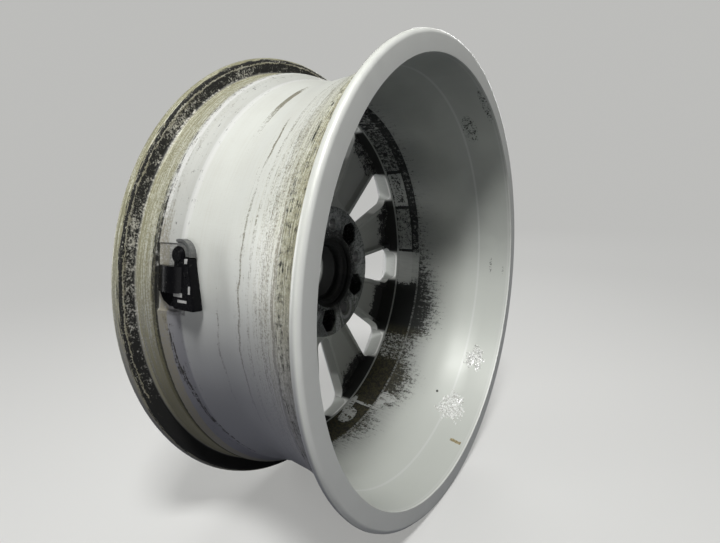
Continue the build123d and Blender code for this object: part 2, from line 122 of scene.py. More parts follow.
class Value:
    """One number that varies over a surface, held as a node's output."""

    def __init__(self, finish, socket):
        self.finish = finish
        self.socket = socket

    def __add__(self, other):
        return self.finish.math("ADD", self, other)

    __radd__ = __add__

    def __mul__(self, other):
        return self.finish.math("MULTIPLY", self, other)

    __rmul__ = __mul__

    def __sub__(self, other):
        return self.finish.math("SUBTRACT", self, other)

    def __rsub__(self, other):
        return self.finish.math("SUBTRACT", other, self)

    def __truediv__(self, other):
        return self.finish.math("DIVIDE", self, other)

    def __pow__(self, other):
        return self.finish.math("POWER", self, other)

    def __or__(self, other):
        return self.finish.math("MAXIMUM", self, other)

    def __and__(self, other):
        return self.finish.math("MINIMUM", self, other)

    def __invert__(self):
        return self.finish.math("SUBTRACT", 1.0, self)

    def __abs__(self):
        return self.finish.math("ABSOLUTE", self)


print("values can be added, multiplied, joined with | and cut with &")

# %% [markdown]
# ## The finish builder
# A Finish owns one material and one Principled shader. Its methods are the words
# that the recipes below are written in: place, noise, band, profile, cover, mix.
# Constants go straight onto the shader's own sockets, because an exported model
# keeps those.

# %% Finish builder


class Finish:
    """A material under construction."""

    def __init__(self, name):
        self.material = bpy.data.materials.new(name)
        self.material.use_nodes = True
        self.tree = self.material.node_tree
        self.tree.nodes.clear()
        output = self.tree.nodes.new("ShaderNodeOutputMaterial")
        self.shader = self.tree.nodes.new("ShaderNodeBsdfPrincipled")
        self.tree.links.new(self.shader.outputs[0], output.inputs["Surface"])

    def feed(self, socket, value):
        """Link a Value to a socket, or set the socket's own number or colour."""
        if isinstance(value, Value):
            self.tree.links.new(value.socket, socket)
        elif hasattr(value, "__len__") and len(value) == 3 and socket.type == "RGBA":
            socket.default_value = (*value, 1)
        else:
            socket.default_value = value

    def node(self, kind, settings=None, inputs=None, output=0):
        """Add a node: its settings first, then the values or links of its sockets."""
        made = self.tree.nodes.new("ShaderNode" + kind)
        for key, value in (settings or {}).items():
            if key == "stops":
                ramp = made.color_ramp.elements
                for index, (place, height) in enumerate(value):
                    stop = ramp[index] if index < 2 else ramp.new(place)
                    stop.position = place
                    stop.color = (height, height, height, 1)
            else:
                setattr(made, key, value)
        for key, value in (inputs or {}).items():
            self.feed(made.inputs[key], value)
        return Value(self, made.outputs[output])

    def math(self, operation, *values):
        return self.node("Math", {"operation": operation}, dict(enumerate(values)))

    def clamp(self, value):
        return self.node("Clamp", {}, {0: value})

    def step(self, value, start, end):
        """0 below start and 1 above end, with a soft S between; falls if start > end."""
        settings = {"interpolation_type": "SMOOTHSTEP"}
        if start > end:
            return self.node("MapRange", settings, {0: value, 1: end, 2: start, 3: 1.0, 4: 0.0})
        return self.node("MapRange", settings, {0: value, 1: start, 2: end, 3: 0.0, 4: 1.0})

    def band(self, value, low, high, soft):
        """1 between low and high, fading to 0 over soft on both sides."""
        return self.step(value, low - soft, low) * self.step(value, high + soft, high)

    def profile(self, value, stops):
        """Height read off a broken line of (place, height) stops, heights 0 to 1."""
        first, last = stops[0][0], stops[-1][0]
        share = (value - first) * (1 / (last - first))
        scaled = [((place - first) / (last - first), height) for place, height in stops]
        return self.node("ValToRGB", {"stops": scaled}, {0: share})

    def cover(self, amount, grain, soft=0.08):
        """Broken coverage: more amount leaves fewer gaps where the grain is low."""
        return self.step(amount + grain, 1.0 - soft, 1.0 + soft)

    def spot(self, across, along, centre, reach, ragged):
        """1 inside an ellipse about a centre, with an edge that a noise makes ragged."""
        first = (across - centre[0]) * (1 / reach[0])
        second = (along - centre[1]) * (1 / reach[1])
        far = self.math("SQRT", first * first + second * second)
        return self.step(far + (ragged - 0.5) * 1.6, 1.05, 0.95)

    def mix(self, amount, first, second):
        """Colour that goes from first to second as amount goes from 0 to 1."""
        return self.node("Mix", {"data_type": "RGBA"}, {0: amount, 6: first, 7: second}, 2)

    def place(self):
        """Place on the piece in millimetres: the vector, then x, y and z."""
        spot = self.node("TexCoord", {}, {}, "Object")
        scaled = self.node("VectorMath", {"operation": "SCALE"}, {0: spot, "Scale": 1000.0})
        parts = [self.node("SeparateXYZ", {}, {0: scaled}, index) for index in range(3)]
        return scaled, *parts

    def round_the_axis(self, x, z, seam):
        """Radius, and angle in degrees from seam - 180 to seam + 180, about the y axis."""
        radius = self.math("SQRT", x * x + z * z)
        cosine, sine = math.cos(math.radians(seam)), math.sin(math.radians(seam))
        turn = self.math("ARCTAN2", z * cosine - x * sine, x * cosine + z * sine)
        return radius, turn * (180 / math.pi) + seam

    def noise(self, vector, scale, detail=4.0, roughness=0.55, distortion=0.0):
        inputs = {"Vector": vector, "Scale": scale, "Detail": detail, "Roughness": roughness}
        inputs["Distortion"] = distortion
        return self.node("TexNoise", {}, inputs)

    def stretched(self, vector, factors, shift=(0, 0, 0)):
        """The vector scaled by three factors, for noise that is long one way."""
        return self.node("Mapping", {}, {"Vector": vector, "Location": shift, "Scale": factors})

    def bump(self, height, distance, strength=1.0):
        return self.node("Bump", {}, {"Height": height, "Distance": distance, "Strength": strength})

    def vector(self, x, y, z):
        return self.node("CombineXYZ", {}, {0: x, 1: y, 2: z})

    def set(self, **values):
        """Give the shader its sockets, with _ for the spaces in their names."""
        for key, value in values.items():
            self.feed(self.shader.inputs[key.replace("_", " ")], value)
        return self.material


def dress(node, material):
    """Give a CAD node its material."""
    nodes[node].data.materials.clear()
    nodes[node].data.materials.append(material)


print("finish builder ready")

# %% [markdown]
# ## Smooth shading on the solids
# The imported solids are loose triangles. Welding their corners and smoothing
# across every edge flatter than a chosen angle brings the turned surfaces back
# without moving a point, while machined corners stay crisp. Weighting the normals
# by face area keeps each broad cone flat and puts the turn into the narrow faces.

# %% Smooth by angle
SMOOTH_ANGLE = math.radians(35)


def smoothing_group():
    """Geometry nodes: shade smooth, but sharp where two faces meet above the angle."""
    group = bpy.data.node_groups.new("smooth_by_angle", "GeometryNodeTree")
    group.interface.new_socket("Geometry", in_out="INPUT", socket_type="NodeSocketGeometry")
    group.interface.new_socket("Geometry", in_out="OUTPUT", socket_type="NodeSocketGeometry")
    source = group.nodes.new("NodeGroupInput")
    target = group.nodes.new("NodeGroupOutput")
    angle = group.nodes.new("GeometryNodeInputMeshEdgeAngle")
    flat = group.nodes.new("FunctionNodeCompare")
    flat.operation = "GREATER_THAN"
    flat.inputs[1].default_value = SMOOTH_ANGLE
    faces = group.nodes.new("GeometryNodeSetShadeSmooth")
    edges = group.nodes.new("GeometryNodeSetShadeSmooth")
    edges.domain = "EDGE"
    edges.inputs["Shade Smooth"].default_value = False
    link = group.links.new
    link(source.outputs[0], faces.inputs["Geometry"])
    link(faces.outputs[0], edges.inputs["Geometry"])
    link(angle.outputs["Unsigned Angle"], flat.inputs[0])
    link(flat.outputs[0], edges.inputs["Selection"])
    link(edges.outputs[0], target.inputs[0])
    return group


smoothing = smoothing_group()
for name, node in nodes.items():
    weld = node.modifiers.new("weld", "WELD")
    weld.merge_threshold = 0.00001
    smooth = node.modifiers.new("smooth", "NODES")
    smooth.node_group = smoothing
    weight = node.modifiers.new("weight", "WEIGHTED_NORMAL")
    weight.keep_sharp = True
    print(name, len(node.data.polygons), "triangles")

# %% [markdown]
# ## The stage
# A pale floor runs back and curves up into a pale wall, as a photographer's paper
# sweep does, so there is no edge behind the wheel. Close to the wheel the floor is
# partly paint, which takes its shadow, and partly a glow, which keeps that shadow
# pale. Further out only the glow is left. The camera alone sees it, so that the
# background is pale without any more light on the wheel. The wheel's own lacquer
# mirrors a dimmer paper, so that its shaded side stays dark.

# %% Floor and sweep
FLOOR_LEVEL = -FLANGE_RADIUS
SWEEP_START = 3.0
SWEEP_BEND = 2.0


def sweep_surface():
    """Disc whose rim turns up: radius and height follow a flat run, then a quarter
    circle, then a wall, along one parameter; the angle runs along the other."""
    flat = np.linspace(0.001, SWEEP_START, 14)
    bend = np.linspace(0, np.pi / 2, 14)[1:]
    wall = np.linspace(0, 3.0, 5)[1:]
    radii = np.concatenate([
        flat,
        SWEEP_START + SWEEP_BEND * np.sin(bend),
        np.full(len(wall), SWEEP_START + SWEEP_BEND),
    ])
    heights = np.concatenate([
        np.zeros(len(flat)),
        SWEEP_BEND * (1 - np.cos(bend)),
        SWEEP_BEND + wall,
    ])
    angles = np.linspace(0, 2 * np.pi, 96, endpoint=False)
    r, a = np.meshgrid(radii, angles, indexing="ij")
    z = np.broadcast_to(heights[:, None], r.shape) + FLOOR_LEVEL
    return np.stack([r * np.cos(a), r * np.sin(a), z], -1)


def grid_object(name, points, closed_rows=False, closed_columns=False):
    """Mesh of a grid of points, one quad between each four neighbours."""
    rows, columns = points.shape[:2]
    index = np.arange(rows * columns).reshape(rows, columns)
    if closed_rows:
        index = np.vstack([index, index[:1]])
    if closed_columns:
        index = np.hstack([index, index[:, :1]])
    quads = np.stack([index[:-1, :-1], index[1:, :-1], index[1:, 1:], index[:-1, 1:]], -1)
    mesh = bpy.data.meshes.new(name)
    mesh.from_pydata(points.reshape(-1, 3), [], quads.reshape(-1, 4).tolist())
    mesh.polygons.foreach_set("use_smooth", np.ones(len(mesh.polygons), bool))
    made = bpy.data.objects.new(name, mesh)
    bpy.context.scene.collection.objects.link(made)
    return made


sweep = grid_object("paper_sweep", sweep_surface(), closed_columns=True)
print("sweep", len(sweep.data.polygons), "faces")

# %% Paper of the sweep
PAPER = (0.42, 0.42, 0.41)
PAPER_NEAR = (0.28, 0.28, 0.272)
PAPER_FAR = (0.505, 0.505, 0.492)
PAPER_BOUNCE = (0.085, 0.089, 0.104)
PAPER_MIRRORED = (0.15, 0.155, 0.19)
PAPER_FADE = (60.0, 1400.0)  # millimetres from the wheel's middle


def paper_finish():
    """Matt paper; what it throws back on the wheel is dimmer than it looks."""
    finish = Finish("paper")
    _, x, y, _ = finish.place()
    camera_ray = finish.node("LightPath", {}, {}, "Is Camera Ray")
    glossy_ray = finish.node("LightPath", {}, {}, "Is Glossy Ray")
    away = finish.step(finish.math("SQRT", x * x + y * y), *PAPER_FADE)
    paint = finish.mix(away, PAPER, (0, 0, 0))
    glow = finish.mix(camera_ray, (0, 0, 0), finish.mix(away, PAPER_NEAR, PAPER_FAR))
    thrown = finish.mix(glossy_ray, PAPER_BOUNCE, PAPER_MIRRORED)
    return finish.set(
        Base_Color=finish.mix(camera_ray, thrown, paint),
        Roughness=0.95,
        Specular_IOR_Level=0.2,
        Emission_Color=glow,
        Emission_Strength=1.0,
    )


sweep.data.materials.append(paper_finish())

# %% [markdown]
# ## Light
# One large soft lamp hangs over the wheel, towards the valve's side. Its direction
# was read off the shade inside the rim: the edge of that shade is the shadow of
# the front flange, and only one direction throws it so. Lamps before the two sides
# of the wheel reach what the large one leaves dark: a faint one the hollow of the
# barrel, a stronger one the styled side and the windows' walls. Two more stand to
# the far and the near side, for the parts of the rim that turn away from the large
# one. The world adds a little from all round.

# %% Lamps
LAMP_DIRECTION = Vector((0.404, 0.290, 0.868))


def soft_light(name, place, size, power):
    """Square area lamp of a side and a power, turned towards the wheel."""
    lamp = bpy.data.lights.new(name, "AREA")
    lamp.shape = "SQUARE"
    lamp.size = size
    lamp.energy = power
    made = bpy.data.objects.new(name, lamp)
    bpy.context.scene.collection.objects.link(made)
    made.location = place
    made.rotation_mode = "QUATERNION"
    made.rotation_quaternion = Vector(place).to_track_quat("Z", "Y")
    return made


soft_light("overhead", LAMP_DIRECTION * 2.0, 0.42, 38)
soft_light("brake_side", (0.25, 2.0, 0.25), 0.9, 2.6)
soft_light("styled_side", (0.55, -2.0, 0.15), 1.1, 24)
soft_light("far_side", (-2.0, -0.5, 0.7), 1.0, 22)
soft_light("near_side", (2.1, 0.1, 0.0), 1.4, 12)
print(len(bpy.data.lights), "lamps")

# %% World


def lit_world(fill, mirrored, seen):
    """World that lights the wheel at one level, is mirrored at another and is seen at a third."""
    world = bpy.data.worlds.new("world")
    bpy.context.scene.world = world
    world.use_nodes = True
    tree = world.node_tree
    tree.nodes.clear()
    rays = tree.nodes.new("ShaderNodeLightPath")
    unseen = tree.nodes.new("ShaderNodeMapRange")
    unseen.inputs["To Min"].default_value = fill
    unseen.inputs["To Max"].default_value = mirrored
    tree.links.new(rays.outputs["Is Glossy Ray"], unseen.inputs["Value"])
    strength = tree.nodes.new("ShaderNodeMapRange")
    strength.inputs["To Max"].default_value = seen
    tree.links.new(unseen.outputs[0], strength.inputs["To Min"])
    tree.links.new(rays.outputs["Is Camera Ray"], strength.inputs["Value"])
    background = tree.nodes.new("ShaderNodeBackground")
    background.inputs["Color"].default_value = (1.0, 1.0, 0.93, 1)
    tree.links.new(strength.outputs[0], background.inputs["Strength"])
    output = tree.nodes.new("ShaderNodeOutputWorld")
    tree.links.new(background.outputs[0], output.inputs["Surface"])


lit_world(0.032, 0.075, 0.86)
print("world lit")

# %% [markdown]
# ## The wheel's lacquer and its dirt
# The casting is one node, so one material must know where it is. Each patch of
# dirt is written as a coverage: a broken line over the angle times a band over y,
# cut into grains by noise. Noise stretched round the wheel gives the rubbing
# marks of the tyre's beads, and noise stretched along the axis gives the way brake
# dust creeps up the barrel. A broken line of radius over y parts the side that
# faces the tyre from the side that faces the brake. The cells below lay the dirt,
# with some painted shade and painted highlights, over the lacquer one kind at a
# time, in one growing value called colour.

# %% Where the dirt lies
# y and a height from 0 to 1 that stands for a radius from 195 to 220 mm
TYRE_SIDE = [(-99.5, 0.88), (-93, 0.84), (-80, 0.74), (-61, 0.28), (-46, 0.24), (-8, 0.20),
             (30, 0.40), (44, 0.50), (56, 0.74), (60, 0.784), (70, 0.74), (88.9, 0.864), (99.5, 0.90)]
# angle and how thickly the dirt lies there
SOOT_ROUND = [(-80, 0.58), (20, 0.52), (100, 0.50), (112, 0.52), (140, 0.52), (146, 0.50), (162, 0.52), (181, 0.50),
              (184, 0.40), (194, 0.44), (198, 0.72), (216, 0.70), (219, 0.52), (229, 0.53), (233, 0.68), (262, 0.64),
              (280, 0.70)]
CREEP_ROUND = [(-80, 0.10), (60, 0.05), (100, 0.04), (160, 0.06), (176, 0.18), (186, 0.34), (194, 0.58), (205, 0.76),
               (216, 0.70), (220, 0.32), (228, 0.40), (236, 0.72), (248, 0.66), (254, 0.22), (264, 0.46),
               (276, 0.26), (280, 0.18)]
SPOKE_END_ROUND = [(-80, 0.50), (20, 0.50), (100, 0.54), (134, 0.54), (160, 0.54), (185, 0.66), (200, 0.74),
                   (215, 0.72), (236, 0.62), (250, 0.58), (280, 0.55)]
print("dirt runs over", SOOT_ROUND[0][0], "to", SOOT_ROUND[-1][0], "degrees")

# %% Places on the casting
cast = Finish("silver_lacquer")
step, band, mix, cover = cast.step, cast.band, cast.mix, cast.cover
profile, spot, noise, stretched = cast.profile, cast.spot, cast.noise, cast.stretched
vector, x, y, z = cast.place()
radius, angle = cast.round_the_axis(x, z, 100)
middle = profile(y, TYRE_SIDE) * 25 + 195
outside = step(radius - middle, -0.2, 0.2) * step(y, -98.7, -97.5)
inside = ~outside


def so_far(title):
    """Say how large the casting's finish has grown."""
    print(title + ":", len(cast.tree.nodes), "nodes so far")


so_far("places")

# %% Noises
fine = noise(vector, 0.55, 5.0, 0.65)
flecks = noise(vector, 0.23, 6.0, 0.7)
broad = noise(vector, 0.03, 3.0, 0.5)
rubbed = noise(stretched(vector, (0.010, 0.9, 0.010)), 1.0, 5.0, 0.6)
rubbed_fine = noise(stretched(vector, (0.03, 2.6, 0.03), (7, 3, 1)), 1.0, 4.0, 0.65)
dashes = noise(stretched(vector, (0.06, 1.4, 0.06), (3, 9, 5)), 1.0, 4.0, 0.7)
creep = noise(stretched(vector, (0.42, 0.045, 0.42)), 1.0, 5.0, 0.6)
creep_fine = noise(stretched(vector, (1.1, 0.14, 1.1), (4, 2, 8)), 1.0, 4.0, 0.7)
so_far("noises")

# %% [markdown]
# Bare lacquer comes first. It is whiter outside, where no brake dust dulls it, and
# cleanest on the styled side. The upper half of the barrel's inside is painted
# darker grey as painted shade, and fine scratches run along the axis outside.

# %% Bare lacquer
colour = mix(outside, (0.575, 0.595, 0.550), (0.745, 0.760, 0.705))
face = band(y, 97.8, 100.0, 0.8) * step(radius, 214.0, 216.0)
colour = mix(face, colour, (0.745, 0.755, 0.715))
styled = inside * step(y, -83.5, -85.0)
colour = mix(styled, colour, (0.705, 0.710, 0.694))
# painted shade: the upper inside of the barrel, which faces down, is darkened
upper_painted_shade = inside * band(angle, 96, 172, 22) * band(y, -62, 97, 4)
colour = mix(upper_painted_shade * (0.28 + step(broad, 0.35, 0.65) * 0.14), colour, (0.29, 0.305, 0.283))
colour = mix(step(broad, 0.40, 0.75) * 0.14, colour, (0.588, 0.597, 0.560))
combed = noise(stretched(vector, (1.3, 0.05, 1.3), (2, 6, 4)), 1.0, 4.0, 0.6)
colour = mix(outside * (1 - face) * step(combed, 0.50, 0.72) * 0.18, colour, (0.626, 0.609, 0.561))
so_far("bare lacquer")

# %% [markdown]
# The tyre rubs brown lines into the lacquer round the wheel. They are thickest on
# the bead seats and thin out towards the middle of the well.

# %% Brown rubbing
near_beads = profile(y, [(-92, 0.95), (-71, 0.80), (-61, 0.34), (-44, 0.20), (-30, 0.10), (0, 0.16),
                                (24, 0.40), (46, 0.55), (60, 0.68), (72, 0.92), (90, 1.0), (94, 0.0)])
cream = outside * step(near_beads * 0.52 + rubbed * 0.60 + (fine - 0.5) * 0.25, 0.50, 0.80)
colour = mix(cream * 0.80, colour, (0.617, 0.607, 0.457))
brown = outside * cover(near_beads * 0.34 + 0.225, rubbed_fine * 0.70 + fine * 0.30, 0.06)
colour = mix(brown * 0.82, colour, (0.195, 0.184, 0.095))
haze = outside * step(rubbed * 0.6 + broad * 0.4, 0.44, 0.62) * band(y, -62, 78, 12)
colour = mix(haze * 0.16, colour, (0.616, 0.592, 0.493))
so_far("brown rubbing")

# %% [markdown]
# Single dark scuffs run round the well. Each one is a narrow band over y that
# wanders with a slow noise, and a broken line over the angle says how whole it is.

# %% Scuffs round the well
wander = y + (broad - 0.5) * 9 + (fine - 0.5) * 3
middle_scuff = [(-40, 0.36), (-12, 0.54), (10, 0.53), (26, 0.51), (34, 0.44), (42, 0.60), (48, 0.54), (52, 0.34)]
lines = band(wander, 16.4, 18.2, 0.8) * profile(angle, middle_scuff)
lines = lines | band(y, 12.0, 23.0, 3.0) * 0.41 * band(angle, -25, 45, 12)
left_scuff = [(-30, 0.36), (-10, 0.50), (3, 0.47), (10, 0.38)]
lines = lines | band(wander, -9.0, -7.6, 0.8) * profile(angle, left_scuff)
lines = lines | band(wander, 27.0, 30.0, 1.5) * 0.46 | band(wander, 44.0, 48.0, 1.5) * 0.485
right_scuff = [(-60, 0.50), (-20, 0.58), (20, 0.55), (40, 0.48), (60, 0.42)]
lines = lines | band(wander, 59.5, 62.5, 1.0) * profile(angle, right_scuff)
top_scuff = [(40, 0.36), (50, 0.46), (58, 0.56), (64, 0.62), (72, 0.38)]
lines = lines | band(y, -14.5, -10.0, 0.8) * profile(angle, top_scuff)
lines = lines | band(y, 35.0, 43.0, 3.0) * 0.445 | band(y, 48.0, 55.0, 2.5) * 0.475
scuffs = outside * cover(lines, dashes * 0.45 + creep_fine * 0.25 + fine * 0.30, 0.05)
colour = mix(scuffs * 0.85, colour, (0.202, 0.184, 0.122))
so_far("scuffs")

# %% [markdown]
# The well's steep outer wall gets painted shade, darkest on the wheel's lower
# side, and both of its edges get painted highlights beside the sensor. The wheel's
# underside gets painted shade too, darker still.

# %% Painted shade, highlights and dirt on the well's wall and the underside
# painted shade on the well's outer wall, strongest on the wheel's lower side
wall_round = [(-80, 0.22), (-60, 0.90), (-20, 0.90), (0, 0.86), (10, 0.62), (22, 0.40), (40, 0.30), (90, 0.22)]
wall_shade = outside * band(y, -65.5, -46.5, 2.5) * profile(angle, wall_round)
colour = mix(wall_shade, colour, (0.225, 0.222, 0.218))
# painted highlight along both edges of the well's wall
painted_edge_highlight = outside * (band(y, -46.5, -42.5, 1.5) | band(y, -65.5, -61.5, 1.0)) * step(angle, 2, 24)
colour = mix(painted_edge_highlight * 0.6, colour, (0.788, 0.792, 0.766))
# round the sensor's seat: partly dirt, partly painted shade cast by the sensor
seat_dirt_and_shade = outside * band(y, -62.0, -41.0, 1.0) * band(angle, 1.5, 16.5, 0.6) * step(fine, 0.25, 0.60)
colour = mix(seat_dirt_and_shade * 0.85, colour, (0.149, 0.145, 0.128))
# painted shade: the rim's lower side, turned away from the lamp, is painted darker
underside_shade_round = [(-80, 0.0), (-58, 0.86), (-36, 0.86), (-18, 0.80), (-8, 0.68), (0, 0.48), (8, 0.22), (22, 0.0)]
underside_painted_shade = outside * step(abs(y), 97.0, 94.0) * profile(angle, underside_shade_round)
colour = mix(underside_painted_shade, colour, (0.20, 0.20, 0.228))
so_far("shade_and_highlights")

# %% Black threads, corner dirt and specks
slanted = (y + 47.0) * 0.9 + (angle + 28.0) * 0.35
threads = band(slanted + (broad - 0.5) * 6, -1.4, 1.0, 1.2) * band(angle, -46, 0, 6) * 0.51
wall = threads | band(y, -63.0, -41.0, 5.0) * 0.405
wall = wall | band(y, -56.0, -44.0, 2.0) * band(angle, 49, 67, 4) * 0.41
smear = outside * cover(wall, dashes * 0.45 + flecks * 0.45 + fine * 0.10, 0.03)
colour = mix(smear * 0.90, colour, (0.0290, 0.0264, 0.0224))
corner_round = [(-70, 0.64), (-30, 0.60), (-2, 0.56), (20, 0.54), (30, 0.40), (90, 0.38)]
corner_dirt = outside * band(y, -67.0, -57.0, 2.5) * profile(angle, corner_round)
colour = mix(cover(corner_dirt, fine * 0.5 + dashes * 0.5, 0.10) * outside * 0.8, colour, (0.260, 0.240, 0.180))
hump_round = [(-60, 0.60), (-20, 0.61), (20, 0.55), (34, 0.46), (90, 0.44)]
hump = band(y, -70.5, -64.0, 1.5) * profile(angle, hump_round)
hump = hump | band(y, 63.0, 76.0, 2.0) * 0.45
black_specks = outside * cover(hump, flecks * 0.45 + dashes * 0.55, 0.05)
colour = mix(black_specks, colour, (0.0344, 0.0344, 0.0316))
so_far("specks")

# %% [markdown]
# The tyre's sides leave black rubber on the flanges: one thin frayed ring near the
# edge and a broad flaky band inside it, over a tan stain. Less of it is left on the
# brake side's flange.

# %% Rubber on the flanges
at_flange = step(abs(y), 86.5, 88.4) * outside * step(abs(y), 97.0, 95.0)
frayed = radius + (dashes - 0.5) * 7 + (fine - 0.5) * 4
ring = band(frayed, 230.8, 233.4, 0.8)
tan = band(radius, 227.6, 233.0, 0.8)
flaky = band(frayed, 218.6, 229.2, 1.6) | band(radius, 219.0, 233.0, 1.0) * step(angle, -4, -24)
lower_round = [(-80, 0.74), (-60, 0.95), (-40, 0.92), (-14, 0.78), (6, 0.66), (50, 0.62), (70, 0.70), (90, 0.74),
               (130, 0.74)]
lower = profile(angle, lower_round)
worn = profile(y, [(-99, 1.0), (0, 1.0), (1, 0.72), (99, 0.72)])
thin_ring = cover(ring * 0.60 * worn, rubbed_fine * 0.35 + fine * 0.65, 0.07)
flakes_left = cover(flaky * (0.24 + lower * 0.46) * worn, flecks * 0.35 + fine * 0.35 + rubbed * 0.3, 0.05)
rubber = at_flange * (thin_ring | flakes_left)
streaks = cover((0.08 + lower * 0.58) * worn, rubbed * 0.45 + dashes * 0.3 + fine * 0.25, 0.05)
seat = outside * band(abs(y), 68.0, 89.0, 5.0) * streaks
colour = mix(seat * 0.75, colour, (0.285, 0.268, 0.165))
flange_dirt = at_flange * step(radius, 234.0, 231.0)
colour = mix(flange_dirt * 0.75, colour, (0.669, 0.651, 0.591))
colour = mix(at_flange * tan * cover(0.56 * worn, rubbed_fine * 0.6 + fine * 0.4, 0.12) * 0.88, colour,
             (0.280, 0.262, 0.180))
colour = mix(rubber, colour, (0.0264, 0.0264, 0.0251))
so_far("rubber")

# %% [markdown]
# Brake dust cakes on the land where balance weights are stuck, and the weights that
# came off left their outlines in it. Above the land it creeps up the barrel in
# streaks and ends in freckles.

# %% Brake dust
lit_side = band(angle, 218, 284, 5)
land = band(y, -59.2, -27.2, 0.5)
edge_line = band(y, -37.5, -27.0, 1.6) * band(angle, 106, 181, 3.0) * 0.05
ghosts = (band(angle, 146.2, 161.6, 0.15) | band(angle, 163.0, 180.6, 0.3) * 0.55
          | band(angle, 182.0, 196.4, 0.4)) * band(y, -57.4, -38.0, 0.5)
ends = band(angle, 144.9, 146.2, 0.3) | band(angle, 161.6, 162.6, 0.2) | band(angle, 180.8, 181.8, 0.2)
rims = ends * band(y, -58.0, -38.0, 0.5) | band(angle, 145, 181, 0.6) * band(y, -38.2, -36.8, 0.3)
amount = profile(angle, SOOT_ROUND) + edge_line + rims * 0.12 - ghosts * 0.07
grain = creep * 0.20 + flecks * 0.45 + creep_fine * 0.10 + fine * 0.25
soot = land * cover(amount, grain, 0.06)
lumps = band(angle, 147.5, 159.5, 0.8) * band(y, -54.0, -43.0, 1.0) * cover(0.49, fine * 0.6 + flecks * 0.4, 0.03)
soot = soot | land * lumps
reach = profile(angle, CREEP_ROUND) * 50 - 40
tall = creep * 0.25 + creep_fine * 0.23 + flecks * 0.30 + fine * 0.22
crept = step(y, -27.4, -26.8) * cover(0.505 + (reach - y) * 0.0044, tall, 0.05) * 0.94
freckles = band(y, -27, 25, 12) * cover(0.405 - (y + 27) * 0.0016, flecks * 0.5 + creep_fine * 0.5, 0.03) * 0.8
so_far("brake dust")

# %% [markdown]
# Tape that held the weights tore the film off in ragged patches. Each patch is an
# ellipse over angle and y, given by its centre and its reach.

# %% Torn patches
TORN_PATCHES = [((249.0, -22.0), (4.6, 6.0)), ((262.5, -47.0), (4.8, 9.0)), ((256.5, -55.5), (5.5, 4.5)),
                ((254.0, -38.0), (0.8, 18.0))]
torn = creep * 0.5 + flecks * 0.5
pale = spot(angle, y, (247.5, -15.5), (2.2, 11.0), torn)
for centre, reach_round in TORN_PATCHES:
    pale = pale | spot(angle, y, centre, reach_round, torn)
pale = pale * step(torn, 0.42, 0.50)
dust = inside * (soot | crept | freckles) * (1 - pale)

# the ridge is worn bright
ridge_worn = (band(y, -61.4, -59.6, 0.5) * step(creep, 0.30, 0.45)
              | band(y, -28.6, -26.6, 0.5) * step(creep, 0.40, 0.60) * band(angle, 172, 284, 4) * 0.7)
dust = dust * (1 - ridge_worn * 0.9)
film = inside * band(y, -60, -16, 34) * (0.34 + step(creep, 0.35, 0.65) * 0.22)
colour = mix(film, colour, (0.34, 0.348, 0.34))
# the soot is real dirt, but its tone is painted light and shade: browner on the lit side, blacker in the shade
soot_tone_by_light = mix(lit_side * 0.9, (0.0173, 0.0185, 0.0185), (0.068, 0.058, 0.025))
blobs = step(flecks * 0.6 + fine * 0.4, 0.46, 0.54)
colour = mix(dust * 0.96, colour, mix(blobs * lit_side * 0.85, soot_tone_by_light, (0.0149, 0.0149, 0.0137)))
clean_light = inside * (pale | ghosts * band(angle, 181, 197, 0.5) * 0.35) * (1 - dust)
colour = mix(clean_light * 0.6, colour, (0.678, 0.688, 0.659))
# painted highlight: thin bright lines along the inside crease and near the barrel's mouth
painted_crease_highlight = inside * (band(y, 55.6, 57.4, 0.5) | band(y, 94.6, 96.0, 0.5) * 0.6)
colour = mix(painted_crease_highlight * 0.40, colour, (0.720, 0.725, 0.709))
so_far("torn patches")

# %% Small marks near the barrel's mouth
MARKS = [((131.5, 66.5), (6.0, 9.0)), ((185.5, 73.0), (3.5, 1.6)), ((187.0, 89.5), (1.6, 1.2))]
marks = spot(angle, y, (122.5, 93.5), (8.0, 4.0), flecks)
for centre, reach_round in MARKS:
    marks = marks | spot(angle, y, centre, reach_round, flecks)
marks = marks * cover(0.465, fine * 0.5 + flecks * 0.5, 0.05)
marks = marks | spot(angle, y, (237.8, 39.5), (0.5, 1.6), fine)
colour = mix(inside * marks * 0.92, colour, (0.0344, 0.0344, 0.0316))
so_far("marks")

# %% [markdown]
# The backs of the spokes carry a dull grey film that turns black where they meet
# the ring. The windows' walls between them are washed clean.

# %% Backs of the spokes
behind = step(y, -60.8, -62.2) * step(radius, 192.6, 191.8) * step(y, -86.0, -83.0)
off_spoke = abs(cast.math("WRAP", angle - FIRST_SPOKE, HALF_SPOKE_STEP, -HALF_SPOKE_STEP))
side_wall = step(y, -74.0, -75.5) * step(off_spoke, 8.0, 9.4) * step(radius, 150, 160)
outer_wall = step(y, -60.8, -62.2) * step(radius, 188.0, 189.5) * step(off_spoke, 11.0, 12.6)
window_wall = step(radius, 192.6, 191.8) * (side_wall | outer_wall)
colour = mix(window_wall, colour, (0.766, 0.773, 0.736))
floor_film = behind * band(radius, 60, 200, 6) * step(y, -72.6, -74.5) * (1 - window_wall)
colour = mix(floor_film * 0.72, colour, (0.36, 0.365, 0.34))
spoke_ends = profile(angle, SPOKE_END_ROUND)
outer = profile(radius, [(130, 0.30), (150, 0.42), (163, 0.62), (174, 0.84), (180, 0.95), (191, 1.0)])
along_spoke = noise(stretched(vector, (0.10, 0.2, 0.10), (1, 5, 2)), 1.0, 5.0, 0.65)
amount = outer * spoke_ends + step(y, -74.0, -72.0) * 0.10
grime = behind * (1 - window_wall) * cover(amount, along_spoke * 0.30 + flecks * 0.35 + fine * 0.35, 0.05)
colour = mix(grime * 0.96, colour, (0.021, 0.021, 0.020))
